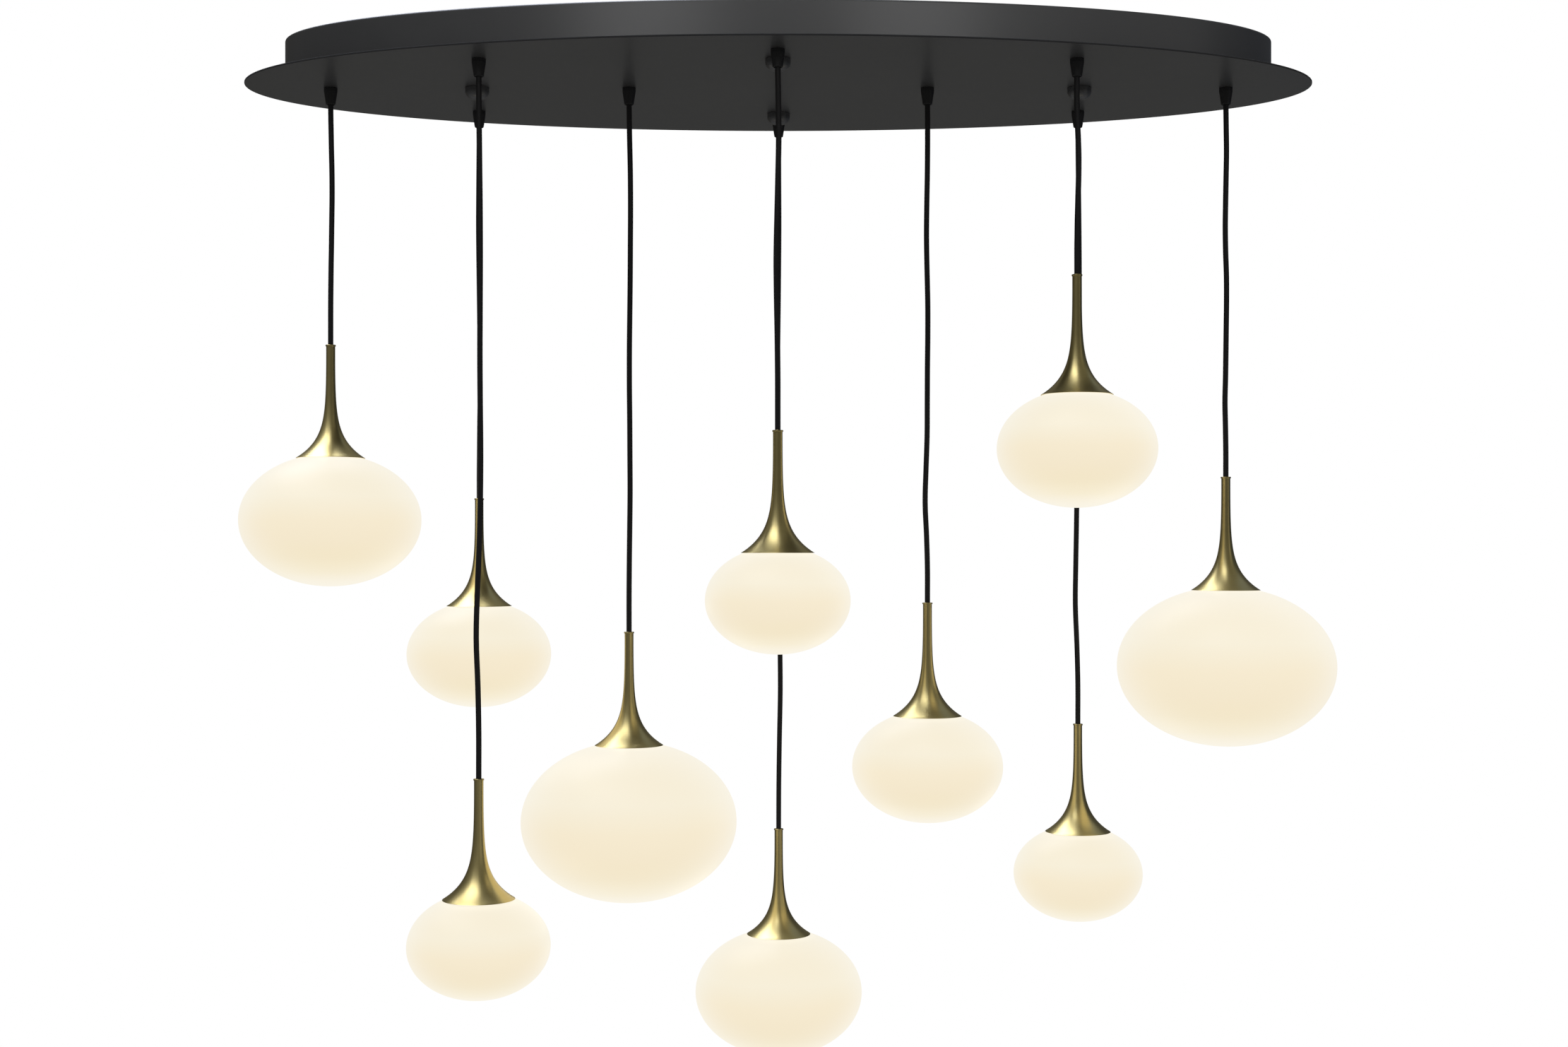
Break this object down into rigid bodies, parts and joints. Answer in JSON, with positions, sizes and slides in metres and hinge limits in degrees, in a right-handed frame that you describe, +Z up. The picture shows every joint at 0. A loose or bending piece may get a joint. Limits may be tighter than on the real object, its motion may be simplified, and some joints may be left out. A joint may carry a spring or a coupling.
{
  "type": "pendant light",
  "caption": "Oval two-step black canopy with opal glass globes hanging on round cords at staggered heights under brushed brass trumpet caps.",
  "frame": {"origin": "centre of the ceiling bracket's upper face, in the plane of the ceiling", "axes": "+X along the oval canopy, +Y away from the viewer, +Z up into the ceiling"},
  "size_m": [1.233, 0.5248, 1.1827],
  "materials": {
    "canopy_black": "satin powder coat",
    "zinc_steel": "zinc plated",
    "grip_black": "moulded nylon",
    "cord_black": "smooth round sheath",
    "antique_brass": "brushed, antiqued, clear lacquer",
    "opal_glass": "blown opal, satin etched",
    "holder_ceramic": "unglazed",
    "bulb_glass": "frosted capsule",
    "box_plastic": "moulded"
  },
  "bodies": {
    "canopy": {"canopy_plate": "canopy_black", "canopy_wall": "canopy_black", "ceiling_bracket": "zinc_steel", "bracket_studs": "zinc_steel", "cap_nuts": "canopy_black", "cord_grips": "grip_black", "grip_locknuts": "grip_black", "junction_box": "box_plastic", "junction_cover": "box_plastic", "inner_leads": "cord_black"},
    "pendant_1": {"cord_1": "cord_black", "trumpet_cap_1": "antique_brass", "lamp_holder_1": "holder_ceramic", "bulb_1": "bulb_glass"},
    "glass_1": {"globe_1": "opal_glass"},
    "pendant_2": {"cord_2": "cord_black", "trumpet_cap_2": "antique_brass", "lamp_holder_2": "holder_ceramic", "bulb_2": "bulb_glass"},
    "glass_2": {"globe_2": "opal_glass"},
    "pendant_3": {"cord_3": "cord_black", "trumpet_cap_3": "antique_brass", "lamp_holder_3": "holder_ceramic", "bulb_3": "bulb_glass"},
    "glass_3": {"globe_3": "opal_glass"},
    "pendant_4": {"cord_4": "cord_black", "trumpet_cap_4": "antique_brass", "lamp_holder_4": "holder_ceramic", "bulb_4": "bulb_glass"},
    "glass_4": {"globe_4": "opal_glass"},
    "pendant_5": {"cord_5": "cord_black", "trumpet_cap_5": "antique_brass", "lamp_holder_5": "holder_ceramic", "bulb_5": "bulb_glass"},
    "glass_5": {"globe_5": "opal_glass"},
    "pendant_6": {"cord_6": "cord_black", "trumpet_cap_6": "antique_brass", "lamp_holder_6": "holder_ceramic", "bulb_6": "bulb_glass"},
    "glass_6": {"globe_6": "opal_glass"},
    "pendant_7": {"cord_7": "cord_black", "trumpet_cap_7": "antique_brass", "lamp_holder_7": "holder_ceramic", "bulb_7": "bulb_glass"},
    "glass_7": {"globe_7": "opal_glass"},
    "pendant_8": {"cord_8": "cord_black", "trumpet_cap_8": "antique_brass", "lamp_holder_8": "holder_ceramic", "bulb_8": "bulb_glass"},
    "glass_8": {"globe_8": "opal_glass"},
    "pendant_9": {"cord_9": "cord_black", "trumpet_cap_9": "antique_brass", "lamp_holder_9": "holder_ceramic", "bulb_9": "bulb_glass"},
    "glass_9": {"globe_9": "opal_glass"},
    "pendant_10": {"cord_10": "cord_black", "trumpet_cap_10": "antique_brass", "lamp_holder_10": "holder_ceramic", "bulb_10": "bulb_glass"},
    "glass_10": {"globe_10": "opal_glass"}
  },
  "joints": [
    {"name": "swing_1", "type": "hinge", "parent": "canopy", "child": "pendant_1", "pos_m": [-0.5055, 0, -0.066], "axis": [1, 0, 0], "range_deg": [-7, 7]},
    {"name": "swing_2", "type": "hinge", "parent": "canopy", "child": "pendant_2", "pos_m": [-0.356, 0.11971, -0.066], "axis": [1, 0, 0], "range_deg": [-7, 7]},
    {"name": "swing_3", "type": "hinge", "parent": "canopy", "child": "pendant_3", "pos_m": [-0.318, -0.13279, -0.066], "axis": [1, 0, 0], "range_deg": [-7, 7]},
    {"name": "swing_4", "type": "hinge", "parent": "canopy", "child": "pendant_4", "pos_m": [-0.1685, 0, -0.066], "axis": [1, 0, 0], "range_deg": [-7, 7]},
    {"name": "swing_5", "type": "hinge", "parent": "canopy", "child": "pendant_5", "pos_m": [0, -0.174, -0.066], "axis": [1, 0, 0], "range_deg": [-7, 7]},
    {"name": "swing_6", "type": "hinge", "parent": "canopy", "child": "pendant_6", "pos_m": [0, 0.174, -0.066], "axis": [1, 0, 0], "range_deg": [-7, 7]},
    {"name": "swing_7", "type": "hinge", "parent": "canopy", "child": "pendant_7", "pos_m": [0.1685, 0, -0.066], "axis": [1, 0, 0], "range_deg": [-7, 7]},
    {"name": "swing_8", "type": "hinge", "parent": "canopy", "child": "pendant_8", "pos_m": [0.318, -0.13279, -0.066], "axis": [1, 0, 0], "range_deg": [-7, 7]},
    {"name": "swing_9", "type": "hinge", "parent": "canopy", "child": "pendant_9", "pos_m": [0.356, 0.11971, -0.066], "axis": [1, 0, 0], "range_deg": [-7, 7]},
    {"name": "swing_10", "type": "hinge", "parent": "canopy", "child": "pendant_10", "pos_m": [0.5055, 0, -0.066], "axis": [1, 0, 0], "range_deg": [-7, 7]},
    {"name": "globe_release_1", "type": "slide", "parent": "pendant_1", "child": "glass_1", "axis": [0, 0, -1], "range_m": [0, 0.065]},
    {"name": "globe_release_2", "type": "slide", "parent": "pendant_2", "child": "glass_2", "axis": [0, 0, -1], "range_m": [0, 0.065]},
    {"name": "globe_release_3", "type": "slide", "parent": "pendant_3", "child": "glass_3", "axis": [0, 0, -1], "range_m": [0, 0.065]},
    {"name": "globe_release_4", "type": "slide", "parent": "pendant_4", "child": "glass_4", "axis": [0, 0, -1], "range_m": [0, 0.065]},
    {"name": "globe_release_5", "type": "slide", "parent": "pendant_5", "child": "glass_5", "axis": [0, 0, -1], "range_m": [0, 0.065]},
    {"name": "globe_release_6", "type": "slide", "parent": "pendant_6", "child": "glass_6", "axis": [0, 0, -1], "range_m": [0, 0.065]},
    {"name": "globe_release_7", "type": "slide", "parent": "pendant_7", "child": "glass_7", "axis": [0, 0, -1], "range_m": [0, 0.065]},
    {"name": "globe_release_8", "type": "slide", "parent": "pendant_8", "child": "glass_8", "axis": [0, 0, -1], "range_m": [0, 0.065]},
    {"name": "globe_release_9", "type": "slide", "parent": "pendant_9", "child": "glass_9", "axis": [0, 0, -1], "range_m": [0, 0.065]},
    {"name": "globe_release_10", "type": "slide", "parent": "pendant_10", "child": "glass_10", "axis": [0, 0, -1], "range_m": [0, 0.065]}
  ]
}
